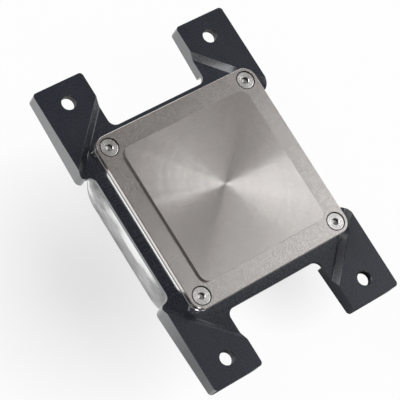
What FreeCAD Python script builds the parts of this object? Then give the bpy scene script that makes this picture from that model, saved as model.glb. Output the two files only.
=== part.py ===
# Processor water block, lying on its flat ported face with the cold plate up.
# X runs along the short spacing of the four mounting holes and Y along the long one.
# Z = 0 is the ported face of the clear top and +Z points out of the cold plate.
import FreeCAD, Part
import math
import os

# Mounting holes and arms of the bracket
HOLE_SPACING_X = 54.0
HOLE_SPACING_Y = 90.0
HOLE_D = 4.5
HOLE_EDGE = 0.3
HOLE_WALL_T = 2.4
HOLE_SEAT_D = 9.0
ARM_W = 18.0
ARM_END = 7.0
ARM_ROOT_Y = 22.0
ARM_ROOT_T = 7.2
ARM_TIP_T = 5.0
ARM_CORNER_R = 2.0
ARM_TIP_R = 1.2
STEP_H = 2.0
STEP_TO_HOLE = 9.6
STEP_TOP_R = 0.3
STEP_FOOT_R = 1.0

# Thin ring of the bracket that is clamped in the stack
RING_T = 1.5
RING_RIM_X = 2.0
RING_RIM_Y = 2.8
RING_FILLET_R = 2.5
POCKET_GAP_X = 4.5
POCKET_GAP_Y = 5.3
POCKET_R = 12.0

# Cold plate and the metal frame under it
PLATE = 60.0
PLATE_R = 4.0
PLATE_T = 1.55
PAD_BORDER = 6.4
PAD_R = 3.0
PAD_RISE = 0.95
PLATE_EDGE = 0.2
FRAME_T = 5.9
FRAME_CHAMFER = 0.7
WEB_T = 2.4

# Fins under the cold plate and the sheet that feeds them
FIN_T = 0.4
FIN_GAP = 0.4
FIN_FIELD = 30.0
FIN_LENGTH = 27.0
FIN_CLEARANCE = 0.1
FIN_SIDE_GAP = 0.3
JET_T = 0.6
JET_SLOT_W = 2.4
JET_SLOT_R = 0.8
JET_CLEARANCE = 0.2
SLOT_W = 5.0
SLOT_END = 2.0
DRAIN_W = 3.0
DRAIN_R = 1.2

# Clear top body, as wide as the cold plate, with a boss that fills the bracket's ring
BODY_T = 14.5
BODY_R = 13.5
BODY_EDGE = 0.5
BOSS_R = 8.0
BOSS_CLEARANCE = 0.2
PORT_D = 11.8
PORT_DEPTH = 9.5
PORT_SPACING = 26.0
PORT_MOUTH = 0.9
PORT_OVERLAP = 1.6
INLET_DEPTH = 11.0
INLET_EDGE = 0.2
ISLAND_WALL_X = 2.5
ISLAND_WALL_Y = 1.25
CHANNEL_DEPTH = 4.0
CHANNEL_R = 3.0
CHANNEL_EDGE = 0.4
OUTLET_D = 8.0

# Seals, their grooves and the walls beside the grooves
PLATE_SEAL_WALL = 2.8
CHANNEL_WALL = 1.0
BOSS_WALL = 1.0
SEAL_R = 5.0
SEAL_W = 1.8
SEAL_H = 1.4
SEAL_CLEARANCE = 0.05
SEAL_ROUND = 0.5

# Screws
PLATE_SCREW_INSET = 4.0
PLATE_SCREW_LENGTH = 6.0
BODY_SCREW_INSET = 8.0
BODY_SCREW_LENGTH = 16.0
SCREW_D = 3.0
SCREW_HOLE_D = 3.4
SCREW_TIP = 0.4
HEAD_D = 5.5
HEAD_RIM = 0.35
HEAD_SUNK = 0.18
HEAD_GAP = 0.35
PLATE_SCREW_KEY = 2.0
PLATE_SCREW_KEY_DEPTH = 1.1
CAP_HEAD_H = 3.0
CAP_HEAD_EDGE = 0.3
COUNTERBORE_D = 6.2
COUNTERBORE_DEPTH = 3.2
BODY_SCREW_KEY = 2.5
BODY_SCREW_KEY_DEPTH = 1.5
TAP_CLEARANCE = 0.05
TAP_MOUTH = 0.3
TAP_SPARE = 0.4

# Levels of the stack, from the ported face up
z_ring = BODY_T
z_frame = z_ring + RING_T
z_arm = z_frame + STEP_H
z_joint = z_frame + FRAME_T
z_plate = z_joint + PLATE_T
z_pad = z_plate + PAD_RISE
z_head_rim = z_plate - HEAD_SUNK - HEAD_RIM

# Plan positions that several pieces share
hole_x = HOLE_SPACING_X / 2
hole_y = HOLE_SPACING_Y / 2
arm_in = hole_x - ARM_W / 2
arm_out = hole_x + ARM_W / 2
arm_tip = hole_y + ARM_END
ring_x = PLATE / 2 + RING_RIM_X
ring_y = PLATE / 2 + RING_RIM_Y
pad = PLATE - 2 * PAD_BORDER
plate_screw_places = PLATE - 2 * PLATE_SCREW_INSET
body_screw_places = PLATE - 2 * BODY_SCREW_INSET
chamber_x = FIN_LENGTH / 2 + DRAIN_W + FIN_SIDE_GAP
chamber_y = FIN_FIELD / 2 + FIN_SIDE_GAP
chamber = max(chamber_x, chamber_y)
slot_y = chamber_y - SLOT_END
channel = chamber + CHANNEL_EDGE
boss = 2 * (channel + CHANNEL_WALL + SEAL_W + BOSS_WALL)
plate_seal_span = 2 * (chamber + PLATE_SEAL_WALL) + SEAL_W
body_seal_span = 2 * (channel + CHANNEL_WALL) + SEAL_W
port_x = PORT_SPACING / 2
inlet_x0 = PORT_D / 2 - port_x - PORT_OVERLAP
inlet_x1 = SLOT_W / 2 + INLET_EDGE

# Overrun of the cutting shapes past the faces that they open
OVER = 1.0


def corners(spacing_x, spacing_y):
    """The four corners of a rectangle about the Z axis."""
    signs = ((1, 1), (-1, 1), (-1, -1), (1, -1))
    return [(sx * spacing_x / 2, sy * spacing_y / 2) for sx, sy in signs]


def rounded_outline(points):
    """Closed wire through (x, y, radius) points, each corner rounded by its radius."""
    edges = []
    starts = []
    ends = []
    for i, (x, y, radius) in enumerate(points):
        here = FreeCAD.Vector(x, y, 0)
        to_last = (FreeCAD.Vector(*points[i - 1][:2], 0) - here).normalize()
        to_next = (FreeCAD.Vector(*points[(i + 1) % len(points)][:2], 0) - here).normalize()
        half_angle = to_last.getAngle(to_next) / 2
        reach = radius / math.tan(half_angle)
        start = here + to_last * reach
        end = here + to_next * reach
        bisector = (to_last + to_next).normalize()
        middle = here + bisector * (radius / math.sin(half_angle) - radius)
        starts.append(start)
        ends.append(end)
        edges.append(Part.Arc(start, middle, end).toShape())
    for i, end in enumerate(ends):
        edges.append(Part.LineSegment(end, starts[(i + 1) % len(starts)]).toShape())
    return Part.Wire(Part.__sortEdges__(edges))


def prism(outline, z0, z1):
    """Solid between two levels with the given outline."""
    face = Part.Face(outline)
    face.translate(FreeCAD.Vector(0, 0, z0))
    return face.extrude(FreeCAD.Vector(0, 0, z1 - z0))


def slab(x0, x1, y0, y1, radius, z0, z1):
    """Rectangular block with rounded upright edges."""
    points = [(x0, y0, radius), (x1, y0, radius), (x1, y1, radius), (x0, y1, radius)]
    return prism(rounded_outline(points), z0, z1)


def square(size, radius, z0, z1):
    """Square block about the Z axis with rounded upright edges."""
    half = size / 2
    return slab(-half, half, -half, half, radius, z0, z1)


def post(place, diameter, z0, z1):
    """Upright cylinder at an (x, y) place."""
    return Part.makeCylinder(diameter / 2, z1 - z0, FreeCAD.Vector(*place, z0))


def flare(place, d0, z0, d1, z1):
    """Upright cone between two diameters."""
    return Part.makeCone(d0 / 2, d1 / 2, z1 - z0, FreeCAD.Vector(*place, z0))


def ring_seal(span, z0):
    """Flattened ring seal on a square path, as it lies squeezed in its groove."""
    outer = span / 2 + SEAL_W / 2 - SEAL_CLEARANCE
    inner = span / 2 - SEAL_W / 2 + SEAL_CLEARANCE
    ring = square(2 * outer, SEAL_R + SEAL_W / 2, z0, z0 + SEAL_H)
    ring = ring.cut(square(2 * inner, SEAL_R - SEAL_W / 2, z0 - OVER, z0 + SEAL_H + OVER))
    round_edges = [edge for edge in ring.Edges if edge.BoundBox.ZLength < SEAL_H / 2]
    return ring.makeFillet(SEAL_ROUND, round_edges)


def groove(span, z0, z1):
    """Groove that a ring seal lies in."""
    outer = square(span + SEAL_W, SEAL_R + SEAL_W / 2, z0, z1)
    return outer.cut(square(span - SEAL_W, SEAL_R - SEAL_W / 2, z0, z1))


def hexagon(place, across_flats, z0, z1):
    """Hexagonal key hole at an (x, y) place."""
    radius = across_flats / math.sqrt(3)
    turns = [math.radians(60 * i) for i in range(6)]
    points = [FreeCAD.Vector(place[0] + radius * math.cos(turn),
                             place[1] + radius * math.sin(turn), 0) for turn in turns]
    return prism(Part.makePolygon(points + points[:1]), z0, z1)


def bracket_quadrant(sx, sy):
    """Outline points of one arm and its share of the ring, in turning order."""
    points = [(ring_x, ARM_ROOT_Y, RING_FILLET_R), (arm_out, ARM_ROOT_Y, ARM_CORNER_R),
              (arm_out, arm_tip, ARM_TIP_R), (arm_in, arm_tip, ARM_TIP_R),
              (arm_in, ring_y, RING_FILLET_R)]
    points = [(sx * x, sy * y, radius) for x, y, radius in points]
    return points if sx == sy else points[::-1]


def diamond(reach, z):
    """Corners of the level square whose sides have |x| + |y| equal to the reach."""
    return [FreeCAD.Vector(reach, 0, z), FreeCAD.Vector(0, reach, z),
            FreeCAD.Vector(-reach, 0, z), FreeCAD.Vector(0, -reach, z)]


def frustum(low, high):
    """Solid with flat sides between two level squares given by their corners."""
    sides = [[low[i - 1], low[i], high[i], high[i - 1]] for i in range(4)]
    faces = [Part.Face(Part.makePolygon(points + points[:1])) for points in [low, high] + sides]
    return Part.makeSolid(Part.makeShell(faces))


def slope_edges(shape, z):
    """The straight diagonal edges of the arms' slopes that lie level at a height."""
    edges = []
    for edge in shape.Edges:
        box = edge.BoundBox
        level = abs(box.ZMin - z) < STEP_H / 100 and abs(box.ZMax - z) < STEP_H / 100
        diagonal = abs(box.XLength - box.YLength) < box.XLength / 100
        if level and diagonal and edge.Curve.TypeId == "Part::GeomLine":
            edges.append(edge)
    return edges


def bracket():
    """Black mounting bracket: four raised arms on a thin ring, hollowed from below."""
    z_root = z_arm - ARM_ROOT_T
    z_tip = z_arm - ARM_TIP_T
    outline = []
    for sx, sy in ((1, 1), (-1, 1), (-1, -1), (1, -1)):
        outline += bracket_quadrant(sx, sy)
    shape = prism(rounded_outline(outline), z_root, z_arm)

    # Low middle, reached over a 45 degree slope across each arm
    foot = hole_x + hole_y - STEP_TO_HOLE * math.sqrt(2)
    rise = STEP_H + OVER
    shape = shape.cut(frustum(diamond(foot, z_frame),
                              diamond(foot + rise * math.sqrt(2), z_frame + rise)))
    shape = shape.makeFillet(STEP_TOP_R, slope_edges(shape, z_arm))
    shape = shape.makeFillet(STEP_FOOT_R, slope_edges(shape, z_frame))

    # Undersides of the arms, which thin out towards the tips
    slope = (z_tip - z_root) / (arm_tip - ARM_ROOT_Y)
    y_far = arm_tip + OVER
    z_far = z_tip + slope * OVER
    for side in (1, -1):
        points = [FreeCAD.Vector(-arm_out - OVER, side * y, z) for y, z in
                  ((ARM_ROOT_Y, z_root), (y_far, z_far), (y_far, z_root - OVER),
                   (ARM_ROOT_Y, z_root - OVER))]
        under = Part.Face(Part.makePolygon(points + points[:1]))
        shape = shape.cut(under.extrude(FreeCAD.Vector(2 * (arm_out + OVER), 0, 0)))

    # Recess for the clear top, and the opening that its boss fills
    pocket_x = PLATE / 2 + POCKET_GAP_X
    pocket_y = PLATE / 2 + POCKET_GAP_Y
    shape = shape.cut(slab(-pocket_x, pocket_x, -pocket_y, pocket_y, POCKET_R,
                           z_root - OVER, z_ring))
    opening = boss + 2 * BOSS_CLEARANCE
    shape = shape.cut(square(opening, BOSS_R + BOSS_CLEARANCE, z_ring - OVER, z_frame + OVER))

    # Mounting holes, each with a seat for its spring and screw from below
    for place in corners(HOLE_SPACING_X, HOLE_SPACING_Y):
        shape = shape.cut(post(place, HOLE_D, z_root - OVER, z_arm + OVER))
        shape = shape.cut(flare(place, HOLE_D, z_arm - HOLE_EDGE,
                                HOLE_D + 2 * HOLE_EDGE, z_arm))
        shape = shape.cut(post(place, HOLE_SEAT_D, z_root - OVER, z_arm - HOLE_WALL_T))
    for place in corners(body_screw_places, body_screw_places):
        shape = shape.cut(post(place, SCREW_HOLE_D, z_ring - OVER, z_frame + OVER))
    return shape


def fin_comb():
    """All the cooling fins as one comb, run along X."""
    pitch = FIN_T + FIN_GAP
    count = int((FIN_FIELD + FIN_GAP) / pitch)
    y0 = -(count * pitch - FIN_GAP) / 2
    z_root = z_joint + PLATE_T / 2
    z_tips = z_frame + WEB_T + JET_T + FIN_CLEARANCE
    profile = [(y0, z_root)]
    for i in range(count):
        y = y0 + i * pitch
        profile += [(y, z_tips), (y + FIN_T, z_tips), (y + FIN_T, z_joint),
                    (y + pitch, z_joint)]
    profile = profile[:-2] + [(-y0, z_root)]
    points = [FreeCAD.Vector(-FIN_LENGTH / 2, y, z) for y, z in profile]
    comb = Part.Face(Part.makePolygon(points + points[:1]))
    return comb.extrude(FreeCAD.Vector(FIN_LENGTH, 0, 0))


def cold_plate():
    """Plated copper plate with a raised turned pad outside and fins inside."""
    shape = square(PLATE, PLATE_R, z_joint, z_plate)
    edges = [edge for edge in shape.Edges if edge.BoundBox.ZMin > z_plate - PLATE_EDGE]
    shape = shape.makeChamfer(PLATE_EDGE, edges)
    shape = shape.fuse(square(pad, PAD_R, z_plate - PLATE_T / 2, z_pad))
    shape = shape.fuse(fin_comb())
    depth = (HEAD_D - SCREW_HOLE_D) / 2
    for place in corners(plate_screw_places, plate_screw_places):
        shape = shape.cut(post(place, SCREW_HOLE_D, z_joint - OVER, z_pad + OVER))
        shape = shape.cut(flare(place, SCREW_HOLE_D, z_head_rim - depth, HEAD_D, z_head_rim))
        shape = shape.cut(post(place, HEAD_D + 2 * HEAD_GAP, z_head_rim, z_pad + OVER))
    return shape.removeSplitter()


def middle_frame():
    """Plated metal frame that holds the coolant chamber and takes all the screws."""
    shape = square(PLATE, PLATE_R, z_frame, z_joint)
    edges = [edge for edge in shape.Edges if edge.BoundBox.ZMin > z_joint - FRAME_CHAMFER]
    shape = shape.makeChamfer(FRAME_CHAMFER, edges)
    z_web = z_frame + WEB_T
    shape = shape.cut(slab(-chamber_x, chamber_x, -chamber_y, chamber_y, DRAIN_R,
                           z_web, z_joint + OVER))

    # Feed slot in the middle of the web and a drain at each end of the fins
    shape = shape.cut(slab(-SLOT_W / 2, SLOT_W / 2, -slot_y, slot_y, DRAIN_R,
                           z_frame - OVER, z_web + OVER))
    for x0 in (FIN_LENGTH / 2 + FIN_SIDE_GAP, -chamber_x):
        shape = shape.cut(slab(x0, x0 + DRAIN_W, -slot_y, slot_y, DRAIN_R,
                               z_frame - OVER, z_web + OVER))

    shape = shape.cut(groove(plate_seal_span, z_joint - SEAL_H, z_joint + OVER))
    tap = SCREW_D + 2 * TAP_CLEARANCE
    for place in corners(plate_screw_places, plate_screw_places):
        shape = shape.cut(post(place, tap, z_frame - OVER, z_joint + OVER))
        shape = shape.cut(flare(place, tap, z_joint - TAP_MOUTH, tap + 2 * TAP_MOUTH, z_joint))
    z_deep = COUNTERBORE_DEPTH + BODY_SCREW_LENGTH + TAP_SPARE
    for place in corners(body_screw_places, body_screw_places):
        shape = shape.cut(post(place, tap, z_frame - OVER, z_deep))
    return shape


def jet_plate():
    """Thin sheet on the web whose slot spreads the coolant over the fins."""
    half_y = chamber_y - JET_CLEARANCE
    half_x = FIN_LENGTH / 2
    z0 = z_frame + WEB_T
    sheet = slab(-half_x, half_x, -half_y, half_y, DRAIN_R, z0, z0 + JET_T)
    slot = slab(-JET_SLOT_W / 2, JET_SLOT_W / 2, -slot_y, slot_y, JET_SLOT_R,
                z0 - OVER, z0 + JET_T + OVER)
    return sheet.cut(slot)


def top_body():
    """Clear top with two threaded ports, an inlet chamber and a return channel round it."""
    shape = square(PLATE, BODY_R, 0, z_ring)
    rims = [edge for edge in shape.Edges if edge.BoundBox.ZLength < BODY_EDGE]
    shape = shape.makeChamfer(BODY_EDGE, rims)
    shape = shape.fuse(square(boss, BOSS_R, z_ring - RING_T, z_frame))

    # Return channel round an island, and the deep inlet chamber in the island
    z_channel = z_frame - CHANNEL_DEPTH
    channel_cut = slab(-channel, channel, -channel, channel, CHANNEL_R,
                       z_channel, z_frame + OVER)
    island = slab(inlet_x0 - ISLAND_WALL_X, inlet_x1 + ISLAND_WALL_X, -slot_y - ISLAND_WALL_Y,
                  slot_y + ISLAND_WALL_Y, DRAIN_R, z_channel, z_frame)
    shape = shape.cut(channel_cut.cut(island))
    shape = shape.cut(slab(inlet_x0, inlet_x1, -slot_y, slot_y, DRAIN_R,
                           z_frame - INLET_DEPTH, z_frame + OVER))

    for side in (1, -1):
        place = (side * port_x, 0)
        shape = shape.cut(post(place, PORT_D, -OVER, PORT_DEPTH))
        shape = shape.cut(flare(place, PORT_D + 2 * PORT_MOUTH, 0, PORT_D, PORT_MOUTH))
    shape = shape.cut(post((port_x, 0), OUTLET_D, PORT_DEPTH - OVER, z_channel + OVER))

    shape = shape.cut(groove(body_seal_span, z_frame - SEAL_H, z_frame + OVER))
    for place in corners(body_screw_places, body_screw_places):
        shape = shape.cut(post(place, SCREW_HOLE_D, -OVER, z_frame + OVER))
        shape = shape.cut(post(place, COUNTERBORE_D, -OVER, COUNTERBORE_DEPTH))
    return shape.removeSplitter()


def plate_screw(place):
    """Countersunk socket screw, head up, seated on the cone in the cold plate."""
    z_top = z_head_rim + HEAD_RIM
    z_end = z_top - PLATE_SCREW_LENGTH
    shank = SCREW_D / 2
    head = HEAD_D / 2
    profile = [(0, z_top), (head, z_top), (head, z_head_rim), (shank, z_head_rim - head + shank),
               (shank, z_end + SCREW_TIP), (shank - SCREW_TIP, z_end), (0, z_end)]
    shape = turned(profile, place)
    return shape.cut(hexagon(place, PLATE_SCREW_KEY, z_top - PLATE_SCREW_KEY_DEPTH,
                             z_top + OVER))


def body_screw(place):
    """Socket cap screw, head down in its counterbore in the ported face."""
    z_seat = COUNTERBORE_DEPTH
    z_head = z_seat - CAP_HEAD_H
    z_end = z_seat + BODY_SCREW_LENGTH
    shank = SCREW_D / 2
    head = HEAD_D / 2
    profile = [(0, z_head), (head - CAP_HEAD_EDGE, z_head), (head, z_head + CAP_HEAD_EDGE),
               (head, z_seat), (shank, z_seat), (shank, z_end - SCREW_TIP),
               (shank - SCREW_TIP, z_end), (0, z_end)]
    shape = turned(profile, place)
    return shape.cut(hexagon(place, BODY_SCREW_KEY, z_head - OVER,
                             z_head + BODY_SCREW_KEY_DEPTH))


def turned(profile, place):
    """Solid turned about an upright axis from (radius, z) points."""
    points = [FreeCAD.Vector(radius, 0, z) for radius, z in profile]
    face = Part.Face(Part.makePolygon(points + points[:1]))
    shape = face.revolve(FreeCAD.Vector(0, 0, 0), FreeCAD.Vector(0, 0, 1), 360)
    shape.translate(FreeCAD.Vector(*place, 0))
    return shape


def main():
    """Build every piece and write one STEP file for each."""
    plate_places = corners(plate_screw_places, plate_screw_places)
    body_places = corners(body_screw_places, body_screw_places)
    nodes = {
        "bracket": bracket(),
        "cold_plate": cold_plate(),
        "middle_frame": middle_frame(),
        "jet_plate": jet_plate(),
        "top_body": top_body(),
        "plate_seal": ring_seal(plate_seal_span, z_joint - SEAL_H),
        "body_seal": ring_seal(body_seal_span, z_frame - SEAL_H),
        "plate_screws": Part.makeCompound([plate_screw(place) for place in plate_places]),
        "body_screws": Part.makeCompound([body_screw(place) for place in body_places]),
    }
    os.makedirs("parts", exist_ok=True)
    for name, shape in nodes.items():
        shape.exportStep(f"parts/{name}.step")
        print(name, len(shape.Solids), "solids", shape.isValid(), round(shape.Volume, 1))


main()
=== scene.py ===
"""Processor water block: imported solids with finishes, screw and port threads, in a pale studio."""

import math

import bmesh
import bpy
from bpy.props import FloatProperty, FloatVectorProperty, IntProperty, PointerProperty
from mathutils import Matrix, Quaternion, Vector


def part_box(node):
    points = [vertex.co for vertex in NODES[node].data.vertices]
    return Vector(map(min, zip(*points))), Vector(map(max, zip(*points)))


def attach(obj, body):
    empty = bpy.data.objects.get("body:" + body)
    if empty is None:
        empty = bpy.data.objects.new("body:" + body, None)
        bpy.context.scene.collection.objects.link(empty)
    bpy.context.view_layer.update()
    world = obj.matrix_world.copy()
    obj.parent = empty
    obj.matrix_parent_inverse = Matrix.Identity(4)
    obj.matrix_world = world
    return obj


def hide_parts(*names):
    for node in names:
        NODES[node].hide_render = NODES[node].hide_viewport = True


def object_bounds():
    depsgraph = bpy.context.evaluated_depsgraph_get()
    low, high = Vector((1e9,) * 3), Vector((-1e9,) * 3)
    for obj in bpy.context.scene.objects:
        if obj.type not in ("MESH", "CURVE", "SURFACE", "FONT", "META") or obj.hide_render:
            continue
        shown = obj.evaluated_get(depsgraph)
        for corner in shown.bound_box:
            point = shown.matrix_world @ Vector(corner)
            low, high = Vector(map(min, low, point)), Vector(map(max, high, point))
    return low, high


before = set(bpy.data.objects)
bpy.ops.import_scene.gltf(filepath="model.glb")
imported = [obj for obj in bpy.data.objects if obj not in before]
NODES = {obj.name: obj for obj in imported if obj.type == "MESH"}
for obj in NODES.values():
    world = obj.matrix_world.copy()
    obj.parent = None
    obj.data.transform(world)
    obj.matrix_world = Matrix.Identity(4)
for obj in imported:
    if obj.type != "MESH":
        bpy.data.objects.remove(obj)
CAD_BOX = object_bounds()
PLATE_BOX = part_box("cold_plate")
PLATE_SCREW_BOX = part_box("plate_screws")
BODY_SCREW_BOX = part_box("body_screws")
MM = 0.001

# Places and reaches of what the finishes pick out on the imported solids, in metres.
HOLE_PLACE = CAD_BOX[1] - Vector((9.0, 7.0, 0.0)) * MM  # middle of the mounting hole at +X +Y
HOLE_REACH = 4.8 * MM  # just beyond the wall of a mounting hole and of its seat
WELL_REACH = 3.15 * MM  # just beyond the recess round a plate screw's head
WELL_TOP = PLATE_SCREW_BOX[1].z + 0.13 * MM  # just under the border of the cold plate
STEP_FOOT = PLATE_SCREW_BOX[1].z + 0.25 * MM  # just over that border
PAD_TOP = PLATE_BOX[1].z - 0.3 * MM  # just under the face of the pad

# Tones where plating or steel is scuffed or scratched, and the painted shade on the walls of the
# mounting holes.
RUBBED_NICKEL = (0.92, 0.91, 0.89)
RUBBED_STEEL = (0.86, 0.85, 0.84)
SCRATCHED_PLATE = (0.9, 0.88, 0.86)
BORE_SHADE = (0.002, 0.002, 0.002)

# Lamps: name, direction from the block, width and height in metres, strength, turn in degrees.
LAMP_DISTANCE = 1.5
LAMPS = (
    ("key_lamp", (-0.38, 0.70, 0.60), (0.95, 0.6), 5.6, 0.0),
    ("side_lamp", (0.78, -0.25, 0.56), (1.15, 0.85), 2.8, 0.0),
    ("over_lamp", (0.30, -0.30, 0.90), (0.6, 0.6), 0.75, 0.0),
    ("top_lamp", (0.577, 0.003, 0.817), (0.5, 0.5), 0.65, -57.8),
    ("front_lamp", (-0.46, -0.78, 0.43), (0.45, 0.35), 2.5, 0.0),
    ("low_lamp", (0.30, -0.91, 0.27), (0.9, 0.3), 1.0, 0.0))

# Painted floor shade: middle x and y, radius of the core and of the rim, share of the shade.
FLOOR_SHADES = ((-0.048, -0.002, 0.006, 0.048, 1.0), (0.013, -0.028, 0.004, 0.022, 0.5))

# Painted shade only reflections see: middle x and y, radius of the core, of the rim, core tone.
FLOOR_REFLECTED_SHADES = ((0.021, -0.047, 0.017, 0.028, 0.05), (-0.044, -0.042, 0.006, 0.022, 0.5),
               (-0.022, -0.059, 0.009, 0.014, 0.05), (0.033, -0.059, 0.009, 0.014, 0.05))

bl_info = {
    "name": "Processor water block",
    "version": (1, 0, 0),
    "blender": (4, 5, 0),
    "location": "3D View > Sidebar > Water block",
    "description": "Finishes, threads and studio for a processor water block",
    "category": "Object",
}


def length(name, default, description, **more):
    """A size in metres, given in millimetres."""
    return FloatProperty(name=name, description=description, default=default * MM,
                         min=0.0, precision=5, unit="LENGTH", **more)


def colour(name, default, description):
    """A plain colour."""
    return FloatVectorProperty(name=name, description=description, default=default,
                               size=3, min=0.0, max=1.0, subtype="COLOR")


def factor(name, default, description, top=1.0):
    """A plain number from 0 up."""
    return FloatProperty(name=name, description=description, default=default,
                         min=0.0, max=top, subtype="FACTOR")


class BlockFinish(bpy.types.PropertyGroup):
    """Colours and gloss of the finishes."""
    black: colour("Black", (0.0185, 0.0215, 0.0305), "Blasted and anodised bracket")
    black_gloss: factor("Black roughness", 0.28, "Roughness of the anodised bracket")
    # Lighter edge colour and its reach: partly wear, partly a painted highlight where edges catch
    # light.
    edge_highlight_and_wear: colour("Worn edge", (0.09, 0.09, 0.095), "Bracket where its edges have rubbed bright")
    edge_highlight_and_wear_width: length("Worn edge width", 0.25, "How far wear reaches from an edge")
    grain: length("Blast grain", 0.3, "Size of the blasted grain on the bracket")
    nickel: colour("Nickel", (0.83, 0.79, 0.765), "Nickel plating of the cold plate")
    frame_nickel: colour("Frame nickel", (0.955, 0.95, 0.955), "Polished plating of the frame")
    plate_gloss: factor("Plate roughness", 0.22, "Roughness of the cold plate's border")
    frame_gloss: factor("Frame roughness", 0.13, "Roughness of the polished frame")
    pad_gloss: factor("Pad roughness", 0.15, "Roughness of the turned pad across its grooves")
    pad_slope: factor("Pad groove slope", 1.25, "Steepness of the turned grooves", 3.0)
    pad_pitch: length("Pad groove pitch", 0.008, "Distance between turned grooves")
    head_reach: length("Screw head radius", 2.75, "Radius of all the screw heads")
    # Colour of the painted shade in the screw sockets, round the heads and on the raised pad's
    # sides.
    painted_shade: colour("Grime", (0.03, 0.028, 0.026), "Dark film in the sockets and round the heads")
    steel: colour("Steel", (0.94, 0.93, 0.91), "Screws and the jet sheet")
    clear: colour("Clear top", (0.985, 0.985, 0.99), "Tint of the clear top")
    rubber: colour("Seal rubber", (0.018, 0.018, 0.019), "Ring seals")


class BlockThreads(bpy.types.PropertyGroup):
    """Sizes of the screws and of the screw and port threads."""
    head: length("Screw head", 5.5, "Diameter of all the screw heads")
    shank: length("Screw shank", 3.0, "Diameter over the threads of all the screws")
    head_round: length("Head rounding", 0.1, "Rounding of the plate screws' heads")
    plate_head_rim: length("Plate screw rim", 0.35, "Height of the straight rim of the heads")
    plate_key: length("Plate screw key", 2.0, "Hexagon of the plate screws across its flats")
    plate_key_depth: length("Plate screw key depth", 1.1, "Depth of that hexagon")
    body_key: length("Body screw key", 2.5, "Hexagon of the body screws across its flats")
    body_key_depth: length("Body screw key depth", 1.5, "Depth of that hexagon")
    cap_height: length("Cap height", 3.0, "Height of the body screws' heads")
    cap_edge: length("Cap edge", 0.3, "Rounding of the body screws' heads")
    screw_pitch: length("Screw pitch", 0.5, "Thread pitch of all the screws")
    screw_depth: length("Screw thread depth", 0.28, "Depth of the screw threads")
    screw_sides: IntProperty(name="Screw sides", description="Sides of each round screw face",
                             default=36, min=12, max=96)
    port: length("Port", 11.8, "Diameter of the two ports")
    port_spacing: length("Port spacing", 26.0, "Distance between the middles of the ports")
    port_pitch: length("Port pitch", 1.337, "Thread pitch of the two ports")
    port_depth: length("Port thread depth", 0.6, "Depth of the port threads")
    port_length: length("Port thread length", 8.8, "Length of the port threads")
    port_sides: IntProperty(name="Port sides", description="Sides of each threaded port",
                            default=64, min=16, max=128)


class BlockStudio(bpy.types.PropertyGroup):
    """Floor, lamps and camera."""
    floor: colour("Floor", (0.94, 0.94, 0.945), "Pale floor")
    floor_lift: factor("Floor lift", 0.96, "How far the floor is shown as plain white")
    floor_shade: factor("Floor shade", 0.4, "How much less it is where the shadow shows most")
    sky: factor("Sky", 0.17, "Strength of the even light from all round", 5.0)
    sky_tint: colour("Sky tint", (1.0, 0.945, 0.905), "Colour of the even light")
    lamp_tint: colour("Lamp tint", (0.975, 0.99, 1.0), "Colour of all the lamps")
    camera_place: FloatVectorProperty(
        name="Camera place", description="Where the camera stands", size=3, unit="LENGTH",
        precision=5, default=(-0.26823, -0.08216, 0.51591))
    camera_aim: FloatVectorProperty(
        name="Camera aim", description="Point in the middle of the picture", size=3,
        unit="LENGTH", precision=5, default=(-0.00686, 0.00022, 0.018))
    camera_roll: FloatProperty(name="Camera roll", description="Turn of the camera about its axis",
                               default=math.radians(42.49), subtype="ANGLE")
    camera_lens: FloatProperty(name="Camera lens", description="Focal length for a 36 mm sensor",
                               default=169.6, min=10.0, unit="CAMERA")


class Term:
    """A value socket that takes part in Python arithmetic, which adds Math nodes."""

    def __init__(self, shader, socket):
        self.shader = shader
        self.socket = socket

    def maths(self, operation, *values):
        """One Math node."""
        return self.shader.node("ShaderNodeMath", {"operation": operation},
                                dict(enumerate(values)))

    def __add__(self, other):
        return self.maths("ADD", self, other)

    def __radd__(self, other):
        return self.maths("ADD", other, self)

    def __sub__(self, other):
        return self.maths("SUBTRACT", self, other)

    def __rsub__(self, other):
        return self.maths("SUBTRACT", other, self)

    def __mul__(self, other):
        return self.maths("MULTIPLY", self, other)

    def __rmul__(self, other):
        return self.maths("MULTIPLY", other, self)

    def __abs__(self):
        return self.maths("ABSOLUTE", self)

    def __gt__(self, other):
        return self.maths("GREATER_THAN", self, other)

    def __lt__(self, other):
        return self.maths("LESS_THAN", self, other)


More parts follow.
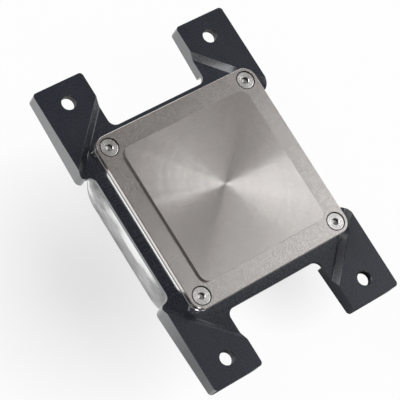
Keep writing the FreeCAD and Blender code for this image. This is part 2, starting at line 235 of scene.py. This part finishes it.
class Shader:
    """A node material under construction."""

    def __init__(self, name):
        self.material = bpy.data.materials.new(name)
        self.material.use_nodes = True
        self.tree = self.material.node_tree
        self.tree.nodes.clear()

    def node(self, kind, settings=None, inputs=None, output=0):
        """Adds a node, sets its settings, then its inputs, and gives one output as a Term."""
        node = self.tree.nodes.new(kind)
        for key, value in (settings or {}).items():
            setattr(node, key, value)
        for key, value in (inputs or {}).items():
            socket = node.inputs[key]
            if isinstance(value, Term):
                self.tree.links.new(value.socket, socket)
            elif socket.type == "RGBA" and len(value) == 3:
                socket.default_value = (*value, 1.0)
            else:
                socket.default_value = value
        return Term(self, node.outputs[output]) if node.outputs else None

    def place(self):
        """Position on the piece, in metres in the object's own frame."""
        return self.node("ShaderNodeTexCoord", output="Object")

    def part(self, vector, axis):
        """One component of a vector."""
        return self.node("ShaderNodeSeparateXYZ", None, {0: vector}, output=axis)

    def noise(self, size, detail=2.0, rough=0.5, stretch=(1, 1, 1), seed=(0, 0, 0)):
        """Even noise from 0 to 1 with grains of a size in metres."""
        moved = self.node("ShaderNodeMapping", {"vector_type": "POINT"},
                          {"Vector": self.place(), "Location": seed, "Scale": stretch})
        return self.node("ShaderNodeTexNoise", {"noise_dimensions": "3D"},
                         {"Vector": moved, "Scale": 1 / size, "Detail": detail, "Roughness": rough})

    def spread(self, value, low, high, out_low=0.0, out_high=1.0):
        """A value moved from one range to another, and held inside it."""
        return self.node("ShaderNodeMapRange", {"clamp": True},
                         {"Value": value, "From Min": low, "From Max": high,
                          "To Min": out_low, "To Max": out_high})

    def mix(self, share, first, second):
        """Colour between two colours."""
        return self.node("ShaderNodeMix", {"data_type": "RGBA"},
                         {0: share, 6: first, 7: second}, output=2)

    def varied(self, share, colour, low, high):
        """A colour that varies between a darker and a lighter tone of itself."""
        return self.mix(share, [low * c for c in colour], [high * c for c in colour])

    def vector(self, operation, *values, output=0):
        """One Vector Math node."""
        return self.node("ShaderNodeVectorMath", {"operation": operation},
                         dict(enumerate(values)), output)

    def scaled(self, vector, length):
        """A vector times a value."""
        return self.node("ShaderNodeVectorMath", {"operation": "SCALE"},
                         {"Vector": vector, "Scale": length})

    def level(self, vector):
        """A vector without its height."""
        return self.vector("MULTIPLY", vector, (1.0, 1.0, 0.0))

    def size(self, vector):
        """Length of a vector."""
        return self.vector("LENGTH", vector, output="Value")

    def folded(self, middle):
        """Way to here from one of four places that mirror each other, as if all were at +X +Y."""
        return self.vector("SUBTRACT", self.vector("ABSOLUTE", self.place()), tuple(middle))

    def around(self, x, y, core, rim, at_core, beyond):
        """Value that goes from one at the core of a round zone to another beyond its rim."""
        away = self.size(self.vector("SUBTRACT", self.place(), (x, y, 0.0)))
        return self.spread(away, core, rim, at_core, beyond)

    def bump(self, height, distance, strength=1.0):
        """Normal raised by a height."""
        return self.node("ShaderNodeBump", None,
                         {"Height": height, "Distance": distance, "Strength": strength})

    def turned(self, outwards, tilt):
        """Normal leaned outwards by a slope."""
        leaned = self.vector("ADD", self.normal(), self.scaled(outwards, tilt))
        return self.vector("NORMALIZE", leaned)

    def normal(self):
        """Normal of the piece before any bump."""
        return self.node("ShaderNodeNewGeometry", output="Normal")

    def edge(self, width):
        """Mask that is 1 on the edges of the piece and 0 away from them."""
        round_normal = self.node("ShaderNodeBevel", {"samples": 6}, {"Radius": width})
        match = self.vector("DOT_PRODUCT", round_normal, self.normal(), output="Value")
        return self.spread(1 - match, 0.02, 0.25)

    def side(self):
        """Mask that is 1 on upright walls and 0 on level faces."""
        return self.spread(abs(self.part(self.normal(), "Z")), 0.95, 0.4)

    def surface(self, **inputs):
        """The Principled shader with its inputs by name, underscores for spaces."""
        named = {key.replace("_", " "): value for key, value in inputs.items()}
        return self.node("ShaderNodeBsdfPrincipled", None, named)

    def show(self, surface):
        """Ends the material with its surface."""
        self.node("ShaderNodeOutputMaterial", None, {"Surface": surface})
        return self.material


def grooves(shader, pitch, slope):
    """Normal of a face turned about the Z axis: fine rings, each with its own slope."""
    flat = shader.level(shader.place())
    radius = shader.size(flat)
    outwards = shader.vector("NORMALIZE", flat)
    ring = shader.node("ShaderNodeTexNoise", {"noise_dimensions": "1D"},
                       {"W": radius, "Scale": 1 / pitch, "Detail": 3.0, "Roughness": 0.7})
    ray = shader.node("ShaderNodeTexNoise", None,
                      {"Vector": outwards, "Scale": 7.0, "Detail": 4.0, "Roughness": 0.6})
    fall = 1.15 - radius * radius * 640  # the rings get a little flatter towards the rim
    return shader.turned(outwards, (ring - 0.5) * slope * (0.55 + 0.9 * ray) * fall)


def finish_black(values):
    """Black anodising, blasted above, glossier on the milled sides, its edges lighter: wear and
    painted highlight.
    """
    shader = Shader("black_anodised")
    grain = shader.noise(values.grain, 3.0, 0.6)
    cloud = shader.noise(9 * MM, 4.0, 0.6, seed=(3, 1, 7))
    # Edge mask for the lighter colour: partly wear, partly a painted edge highlight.
    wear_and_highlight_mask = shader.edge(values.edge_highlight_and_wear_width) * shader.spread(shader.noise(1.5 * MM, 4.0), 0.4, 0.65)
    side = shader.side()
    # Walls of the mounting holes: painted shade, less coat and more roughness.
    bore = side * (shader.size(shader.level(shader.folded(HOLE_PLACE))) < HOLE_REACH)
    base = shader.varied(cloud, values.black, 0.85, 1.15)
    base = shader.mix(shader.spread(grain, 0.46, 0.7), base, [2.9 * c for c in values.black])
    base = shader.mix(wear_and_highlight_mask * 0.45, base, values.edge_highlight_and_wear)
    base = shader.mix(bore * 0.8, base, BORE_SHADE)
    gloss = (values.black_gloss + (cloud - 0.5) * 0.12 + (grain - 0.5) * 0.2 - wear_and_highlight_mask * 0.08
             + bore * 0.25)
    return shader.show(shader.surface(
        Base_Color=base, Roughness=gloss, IOR=1.5, Coat_Weight=side * (1 - 0.9 * bore),
        Coat_Roughness=0.3, Coat_IOR=2.0, Normal=shader.bump(grain, 0.025 * MM)))


def finish_cold_plate(values):
    """Plated plate: a milled border, a pad turned in fine rings, and painted shade in the screw
    recesses and on the pad's sides.
    """
    shader = Shader("nickel_cold_plate")
    high = shader.part(shader.place(), "Z")
    on_pad = high > PAD_TOP
    cloud = shader.noise(7 * MM, 4.0, 0.55, seed=(1, 5, 2))
    cloud = 0.5 + (cloud - 0.5) * (1 - 0.8 * on_pad)
    fine = shader.noise(0.25 * MM, 3.0, 0.6)
    scratch = shader.spread(shader.noise(3 * MM, 6.0, 0.7, stretch=(1, 9, 1), seed=(9, 2, 4)),
                            0.62, 0.7)
    speck = shader.spread(shader.noise(0.4 * MM, 2.0, 0.7, seed=(5, 5, 5)), 0.42, 0.6)
    screw = screw_places(PLATE_SCREW_BOX, values.head_reach)[-1]
    away = shader.size(shader.level(shader.folded(screw)))
    # Painted shade in the recesses round the heads and on the raised pad's side walls.
    well_shade = (away < WELL_REACH) * (high < WELL_TOP)
    step_shade = (shader.part(shader.normal(), "Z") < 0.9) * (high > STEP_FOOT)
    base = shader.varied(cloud, values.nickel, 0.97, 1.06)
    base = shader.mix(scratch * 0.08, base, SCRATCHED_PLATE)
    base = shader.mix(speck * (1 - on_pad) * 0.34, base, [0.5 * c for c in values.nickel])
    base = shader.mix(well_shade * 0.85 + step_shade * 0.6, base, values.painted_shade)
    gloss = (values.plate_gloss + (values.pad_gloss - values.plate_gloss) * on_pad
             + (cloud - 0.5) * 0.07 + (fine - 0.5) * 0.05 + scratch * 0.04)
    milled = shader.bump(shader.noise(0.35 * MM, 1.0, 0.5), 0.022 * MM, 0.7)
    turned = grooves(shader, values.pad_pitch, values.pad_slope)
    normal = shader.node("ShaderNodeMix", {"data_type": "VECTOR"},
                         {0: on_pad, 4: milled, 5: turned}, output=1)
    return shader.show(shader.surface(
        Base_Color=base, Metallic=1.0, Roughness=gloss, Normal=normal))


def finish_frame(values):
    """Polished nickel with faint waves and haze."""
    shader = Shader("nickel_frame")
    cloud = shader.noise(5 * MM, 4.0, 0.6)
    fine = shader.noise(0.3 * MM, 3.0, 0.6)
    base = shader.varied(cloud, values.frame_nickel, 0.97, 1.03)
    base = shader.mix(shader.edge(0.2 * MM) * 0.3, base, RUBBED_NICKEL)
    gloss = values.frame_gloss + (cloud - 0.5) * 0.06 + (fine - 0.5) * 0.03
    return shader.show(shader.surface(
        Base_Color=base, Metallic=1.0, Roughness=gloss,
        Normal=shader.bump(cloud, 0.01 * MM, 0.6)))


def finish_sheet(values):
    """Rolled steel sheet with a fine lay along one way."""
    shader = Shader("jet_sheet")
    lines = shader.noise(0.4 * MM, 4.0, 0.7, stretch=(0.08, 1, 1))
    cloud = shader.noise(2 * MM, 3.0, 0.6, seed=(2, 2, 5))
    base = shader.varied(lines, values.steel, 0.88, 1.08)
    base = shader.mix(shader.edge(0.12 * MM) * 0.4, base, RUBBED_STEEL)
    return shader.show(shader.surface(
        Base_Color=base, Metallic=1.0,
        Roughness=0.3 + (lines - 0.5) * 0.12 + (cloud - 0.5) * 0.06,
        Normal=shader.bump(lines, 0.004 * MM, 0.7)))


def finish_screw(values, name, spacing, face, inwards, key):
    """Plated screw metal, turned in fine rings, with painted shade in the socket and on the head's
    side.
    """
    shader = Shader(name)
    signs = shader.vector("SIGN", shader.place())
    flat = shader.level(shader.vector("MULTIPLY", shader.folded((spacing, spacing, 0.0)), signs))
    radius = shader.size(flat)
    ring = shader.node("ShaderNodeTexNoise", {"noise_dimensions": "1D"},
                       {"W": radius, "Scale": 1 / (0.05 * MM), "Detail": 2.0})
    cloud = shader.noise(0.8 * MM, 3.0, 0.6, seed=(2, 2, 5))
    high = shader.part(shader.place(), "Z")
    # Painted shade below the face: in the socket, most on its walls, and on the head's side.
    deep = shader.spread((high - face) * inwards, 0.01 * MM, 0.12 * MM)
    inside = radius < 0.59 * key
    wall = radius > 0.42 * key
    beside = radius > values.head_reach - 0.12 * MM
    socket_shade = deep * (inside * (0.12 + wall * 0.63) + beside * 0.5)
    base = shader.varied(cloud, values.steel, 0.9, 1.1)
    base = shader.mix(shader.edge(0.12 * MM) * 0.4, base, RUBBED_STEEL)
    base = shader.mix(socket_shade, base, values.painted_shade)
    return shader.show(shader.surface(
        Base_Color=base, Metallic=1.0, Roughness=0.24 + (cloud - 0.5) * 0.12 + socket_shade * 0.4,
        Normal=shader.turned(shader.vector("NORMALIZE", flat), (ring - 0.5) * 0.6)))


def finish_clear(values):
    """Clear cast top, satin on its milled sides, with faint tool marks along them."""
    shader = Shader("clear_top")
    haze = shader.noise(4 * MM, 4.0, 0.6)
    marks = shader.noise(1.0 * MM, 3.0, 0.6, stretch=(1, 0.09, 1))
    gloss = 0.13 + shader.side() * (0.27 + (marks - 0.5) * 0.45) + (haze - 0.5) * 0.04
    return shader.show(shader.surface(
        Base_Color=values.clear, Transmission_Weight=1.0, IOR=1.49, Roughness=gloss,
        Normal=shader.bump(marks, 0.015 * MM)))


def finish_rubber(values):
    """Dull black rubber with a fine moulded grain."""
    shader = Shader("seal_rubber")
    grain = shader.noise(0.12 * MM, 3.0, 0.6)
    cloud = shader.noise(3 * MM, 3.0, 0.6, seed=(4, 4, 1))
    return shader.show(shader.surface(
        Base_Color=shader.varied(cloud, values.rubber, 0.8, 1.4),
        Roughness=0.5 + cloud * 0.15 + grain * 0.05,
        Normal=shader.bump(grain, 0.01 * MM, 0.6)))


def dress(node, material):
    """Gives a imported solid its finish."""
    slots = NODES[node].data.materials
    slots.clear()
    slots.append(material)


class BLOCK_OT_bracket(bpy.types.Operator):
    """Finish the black mounting bracket"""
    bl_idname = "water_block.bracket"
    bl_label = "Bracket finish"

    def execute(self, context):
        dress("bracket", finish_black(context.scene.block_finish))
        return {"FINISHED"}


class BLOCK_OT_cold_plate(bpy.types.Operator):
    """Finish the plated cold plate and its turned pad"""
    bl_idname = "water_block.cold_plate"
    bl_label = "Cold plate finish"

    def execute(self, context):
        dress("cold_plate", finish_cold_plate(context.scene.block_finish))
        return {"FINISHED"}


class BLOCK_OT_middle_frame(bpy.types.Operator):
    """Finish the polished middle frame"""
    bl_idname = "water_block.middle_frame"
    bl_label = "Middle frame finish"

    def execute(self, context):
        dress("middle_frame", finish_frame(context.scene.block_finish))
        return {"FINISHED"}


class BLOCK_OT_jet_plate(bpy.types.Operator):
    """Finish the thin jet sheet"""
    bl_idname = "water_block.jet_plate"
    bl_label = "Jet plate finish"

    def execute(self, context):
        dress("jet_plate", finish_sheet(context.scene.block_finish))
        return {"FINISHED"}


class BLOCK_OT_seals(bpy.types.Operator):
    """Finish the two ring seals"""
    bl_idname = "water_block.seals"
    bl_label = "Seal finish"

    def execute(self, context):
        rubber = finish_rubber(context.scene.block_finish)
        dress("plate_seal", rubber)
        dress("body_seal", rubber)
        return {"FINISHED"}


def circle(radius, height, sides):
    """Level ring of points."""
    turns = [2 * math.pi * i / sides for i in range(sides)]
    return [Vector((radius * math.cos(turn), radius * math.sin(turn), height)) for turn in turns]


def hexagon(across_flats, height, sides):
    """Level ring of points on a hexagon, as many as a circle has."""
    ring = []
    for i in range(sides):
        turn = 2 * math.pi * i / sides
        reach = across_flats / 2 / math.cos(turn % (math.pi / 3) - math.pi / 6)
        ring.append(Vector((reach * math.cos(turn), reach * math.sin(turn), height)))
    return ring


def thread(radius, depth, pitch, low, high, sides, steps=8):
    """Rings of a threaded cylinder from its high end to its low one; both ends run out."""
    rows = []
    count = int((high - low) / pitch * steps)
    for j in range(count + 1):
        height = high + (low - high) * j / count
        fade = min(1.0, (high - height) / pitch, (height - low) / pitch)
        row = []
        for i in range(sides):
            turn = 2 * math.pi * i / sides
            phase = (height / pitch - i / sides) % 1.0
            cut = min(1.0, max(0.0, 3.0 * (0.5 - abs(phase - 0.5)) - 0.25)) * fade
            reach = radius - depth * cut
            row.append(Vector((reach * math.cos(turn), reach * math.sin(turn), height)))
        rows.append(row)
    return rows


def lofted(shape, rings, place):
    """Skins the rings one after another at a place and fills both ends."""
    rows = [[shape.verts.new(point + place) for point in ring] for ring in rings]
    for one, two in zip(rows, rows[1:]):
        for i in range(len(one)):
            face = shape.faces.new((one[i - 1], one[i], two[i], two[i - 1]))
            face.smooth = True
    shape.faces.new(rows[0])
    shape.faces.new(reversed(rows[-1]))


def piece(name, shape, material, sharp=25.0):
    """Object from a shape, riding on the block, with its finish."""
    bmesh.ops.recalc_face_normals(shape, faces=shape.faces)
    mesh = bpy.data.meshes.new(name)
    shape.to_mesh(mesh)
    shape.free()
    mesh.set_sharp_from_angle(angle=math.radians(sharp))
    mesh.materials.append(material)
    obj = bpy.data.objects.new(name, mesh)
    bpy.context.scene.collection.objects.link(obj)
    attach(obj, "root")
    return obj


def screw_places(box, radius):
    """Middles of the four screws in a packed box."""
    low, high = box
    return [Vector((x, y, 0.0)) for x in (low.x + radius, high.x - radius)
            for y in (low.y + radius, high.y - radius)]


def threaded_copy(node, cutters):
    """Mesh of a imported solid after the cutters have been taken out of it."""
    shape = bmesh.new()
    shape.from_mesh(NODES[node].data)
    bmesh.ops.remove_doubles(shape, verts=shape.verts, dist=MM / 1000)
    whole = bpy.data.meshes.new(node + "_whole")
    shape.to_mesh(whole)
    shape.free()
    body = bpy.data.objects.new(node + "_whole", whole)
    tool = bpy.data.objects.new(node + "_cutter", cutters)
    for obj in (body, tool):
        bpy.context.scene.collection.objects.link(obj)
    cut = body.modifiers.new("threads", "BOOLEAN")
    cut.operation = "DIFFERENCE"
    cut.solver = "EXACT"
    cut.object = tool
    shape = bmesh.new()
    shape.from_object(body, bpy.context.evaluated_depsgraph_get())
    for obj in (body, tool):
        bpy.data.objects.remove(obj)
    return shape


def head_rings(head, key, face, floor, pip, soft, chamfer, sides):
    """Rings of a socket head from the pip under its hexagon, over its face, to its side."""
    down = math.copysign(1.0, floor - face)
    return [circle(0.05 * MM, floor + down * pip, sides), hexagon(key, floor, sides),
            hexagon(key, face + down * chamfer, sides), circle(0.6 * key, face, sides),
            circle(0.64 * key, face, sides), circle(head - 1.4 * soft, face, sides),
            circle(head - soft, face, sides),
            circle(head - 0.3 * soft, face + down * 0.3 * soft, sides),
            circle(head, face + down * soft, sides)]


def four_screws(context, kind, box, rings, face, inwards, key):
    """Piece of four like screws at the corners of a packed box."""
    places = screw_places(box, context.scene.block_threads.head / 2)
    shape = bmesh.new()
    for place in places:
        lofted(shape, rings, place)
    metal = finish_screw(context.scene.block_finish, kind + "_screw_metal", places[-1].x, face,
                         inwards, key)
    return piece(kind + "_screws_threaded", shape, metal)


class BLOCK_OT_top_body(bpy.types.Operator):
    """Cut the port threads into the clear top and finish it"""
    bl_idname = "water_block.top_body"
    bl_label = "Clear top"

    def execute(self, context):
        values = context.scene.block_threads
        bore = values.port / 2 - 0.05 * MM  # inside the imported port, so that only threads are cut
        start = -0.6 * MM  # outside the ported face
        rings = thread(bore, -values.port_depth, values.port_pitch, start,
                       values.port_length, values.port_sides)
        shape = bmesh.new()
        for x in (-values.port_spacing / 2, values.port_spacing / 2):
            lofted(shape, rings, Vector((x, 0.0, 0.0)))
        bmesh.ops.recalc_face_normals(shape, faces=shape.faces)
        cutters = bpy.data.meshes.new("port_threads")
        shape.to_mesh(cutters)
        shape.free()
        shape = threaded_copy("top_body", cutters)
        for face in shape.faces:
            face.smooth = True
        clear = finish_clear(context.scene.block_finish)
        body = piece("top_body_threaded", shape, clear, sharp=30.0)
        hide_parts("top_body")
        return {"FINISHED"}


class BLOCK_OT_plate_screws(bpy.types.Operator):
    """Build the countersunk screws of the cold plate with sockets and threads"""
    bl_idname = "water_block.plate_screws"
    bl_label = "Plate screws"

    def execute(self, context):
        values = context.scene.block_threads
        sides = values.screw_sides
        head, shank, key = values.head / 2, values.shank / 2, values.plate_key
        top, tip = PLATE_SCREW_BOX[1].z, PLATE_SCREW_BOX[0].z
        under = top - values.plate_head_rim
        neck = under - head + shank
        rings = head_rings(head, key, top, top - values.plate_key_depth, 0.3 * MM,
                           values.head_round, values.head_round, sides)
        rings += [circle(head, under, sides), circle(shank, neck, sides)]
        rings += thread(shank, values.screw_depth, values.screw_pitch, tip + 0.4 * MM,
                        neck - 0.1 * MM, sides)
        rings.append(circle(shank - 0.4 * MM, tip, sides))
        screws = four_screws(context, "plate", PLATE_SCREW_BOX, rings, top, -1.0, key)
        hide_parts("plate_screws")
        return {"FINISHED"}


class BLOCK_OT_body_screws(bpy.types.Operator):
    """Build the cap screws of the clear top with sockets and threads"""
    bl_idname = "water_block.body_screws"
    bl_label = "Body screws"

    def execute(self, context):
        values = context.scene.block_threads
        sides = values.screw_sides
        head, shank, key = values.head / 2, values.shank / 2, values.body_key
        low, tip = BODY_SCREW_BOX[0].z, BODY_SCREW_BOX[1].z
        seat = low + values.cap_height
        rings = head_rings(head, key, low, low + values.body_key_depth, 0.4 * MM,
                           values.cap_edge, 0.2 * MM, sides)
        rings += [circle(head, seat, sides), circle(shank, seat, sides)]
        turns = thread(shank, values.screw_depth, values.screw_pitch, seat + 1.0 * MM,
                       tip - 0.4 * MM, sides)
        rings += turns[::-1]
        rings.append(circle(shank - 0.4 * MM, tip, sides))
        screws = four_screws(context, "body", BODY_SCREW_BOX, rings, low, 1.0, key)
        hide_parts("body_screws")
        return {"FINISHED"}


def softbox(name, towards, size, strength, turn, tint):
    """Flat lamp in a direction from the block, faced to it and then turned by degrees."""
    lamp = bpy.data.lights.new(name, "AREA")
    lamp.shape = "RECTANGLE"
    lamp.size, lamp.size_y = size
    lamp.energy = strength * size[0] * size[1] * math.pi
    lamp.color = tint
    obj = bpy.data.objects.new(name, lamp)
    bpy.context.scene.collection.objects.link(obj)
    way = Vector(towards).normalized()
    obj.location = Vector((0.0, 0.0, CAD_BOX[1].z)) + way * LAMP_DISTANCE
    facing = (-way).to_track_quat("-Z", "Y") @ Quaternion((0.0, 0.0, 1.0), math.radians(turn))
    obj.rotation_euler = facing.to_euler()


class BLOCK_OT_studio(bpy.types.Operator):
    """Add the floor, the lamps, the even light and the camera"""
    bl_idname = "water_block.studio"
    bl_label = "Studio"

    def execute(self, context):
        scene = context.scene
        values = scene.block_studio
        self.add_floor(values)
        self.add_sky(scene, values)
        for lamp in LAMPS:
            softbox(*lamp, values.lamp_tint)
        self.add_camera(scene, values)
        scene.view_settings.view_transform = "Standard"
        return {"FINISHED"}

    def add_floor(self, values):
        """Flat pale floor: it keeps its shadow, looks white and shows painted shade to reflections.
        """
        mesh = bpy.data.meshes.new("floor")
        shape = bmesh.new()
        bmesh.ops.create_grid(shape, x_segments=1, y_segments=1, size=4.0)
        shape.to_mesh(mesh)
        shape.free()
        floor = bpy.data.objects.new("floor", mesh)
        floor.location.z = -0.2 * MM  # clear of the ported face
        bpy.context.scene.collection.objects.link(floor)
        shader = Shader("floor_paper")
        speck = shader.noise(3 * MM, 3.0)
        tint = shader.mix(speck, [0.99 * c for c in values.floor], values.floor)
        matt = shader.node("ShaderNodeBsdfDiffuse", None, {"Color": tint})
        seen = shader.node("ShaderNodeLightPath", output="Is Camera Ray")
        glossy = shader.node("ShaderNodeLightPath", output="Is Glossy Ray")
        through = shader.node("ShaderNodeLightPath", output="Is Transmission Ray")
        faced = values.floor_lift
        # Painted shade: the white lift is weaker in these zones, so the real shadow shows more
        # there.
        for x, y, core, rim, share in FLOOR_SHADES:
            faced = faced - shader.around(x, y, core, rim, share * values.floor_shade, 0.0)
        # Painted shade that only glossy rays see, where the reflected floor should lie in shadow.
        reflected_shade = 1.0
        for x, y, core, rim, dark in FLOOR_REFLECTED_SHADES:
            reflected_shade = shader.around(x, y, core, rim, dark, 1.0) * reflected_shade
        tone = 1.0 - glossy * (1.0 - reflected_shade)
        white = shader.node("ShaderNodeEmission", None, {"Color": tone, "Strength": 1.0})
        share = seen * faced + (glossy + through) * values.floor_lift
        mixed = shader.node("ShaderNodeMixShader", None, {0: share, 1: matt, 2: white})
        mesh.materials.append(shader.show(mixed))

    def add_sky(self, scene, values):
        """Even light from all round."""
        world = bpy.data.worlds.new("studio_air")
        world.use_nodes = True
        background = world.node_tree.nodes["Background"]
        background.inputs["Color"].default_value = (*values.sky_tint, 1.0)
        background.inputs["Strength"].default_value = values.sky
        scene.world = world

    def add_camera(self, scene, values):
        """Camera at the photograph's viewing angle."""
        camera = bpy.data.cameras.new("camera")
        camera.sensor_width = 36.0
        camera.lens = values.camera_lens
        camera.clip_start = 0.01
        obj = bpy.data.objects.new("camera", camera)
        scene.collection.objects.link(obj)
        place = Vector(values.camera_place)
        ahead = Vector(values.camera_aim) - place
        roll = Quaternion((0.0, 0.0, 1.0), values.camera_roll)
        obj.rotation_mode = "QUATERNION"
        obj.rotation_quaternion = ahead.to_track_quat("-Z", "Y") @ roll
        obj.location = place
        scene.camera = obj


OPERATORS = (BLOCK_OT_bracket, BLOCK_OT_cold_plate, BLOCK_OT_middle_frame, BLOCK_OT_jet_plate,
             BLOCK_OT_top_body, BLOCK_OT_seals, BLOCK_OT_plate_screws, BLOCK_OT_body_screws,
             BLOCK_OT_studio)


class BLOCK_PT_panel(bpy.types.Panel):
    """Buttons for every piece of the water block"""
    bl_idname = "BLOCK_PT_panel"
    bl_label = "Water block"
    bl_space_type = "VIEW_3D"
    bl_region_type = "UI"
    bl_category = "Water block"

    def draw(self, context):
        for operator in OPERATORS:
            self.layout.operator(operator.bl_idname)


GROUPS = {"block_finish": BlockFinish, "block_threads": BlockThreads, "block_studio": BlockStudio}
CLASSES = (*GROUPS.values(), *OPERATORS, BLOCK_PT_panel)


def register():
    """Registers the classes and hangs the settings on the scene."""
    for cls in CLASSES:
        bpy.utils.register_class(cls)
    for name, group in GROUPS.items():
        setattr(bpy.types.Scene, name, PointerProperty(type=group))


def unregister():
    """Takes the settings and classes away again."""
    for name in GROUPS:
        delattr(bpy.types.Scene, name)
    for cls in reversed(CLASSES):
        bpy.utils.unregister_class(cls)


def main():
    """Builds the whole scene."""
    register()
    bpy.ops.water_block.bracket()
    bpy.ops.water_block.cold_plate()
    bpy.ops.water_block.middle_frame()
    bpy.ops.water_block.jet_plate()
    bpy.ops.water_block.top_body()
    bpy.ops.water_block.seals()
    bpy.ops.water_block.plate_screws()
    bpy.ops.water_block.body_screws()
    bpy.ops.water_block.studio()


if __name__ == "__main__":
    main()
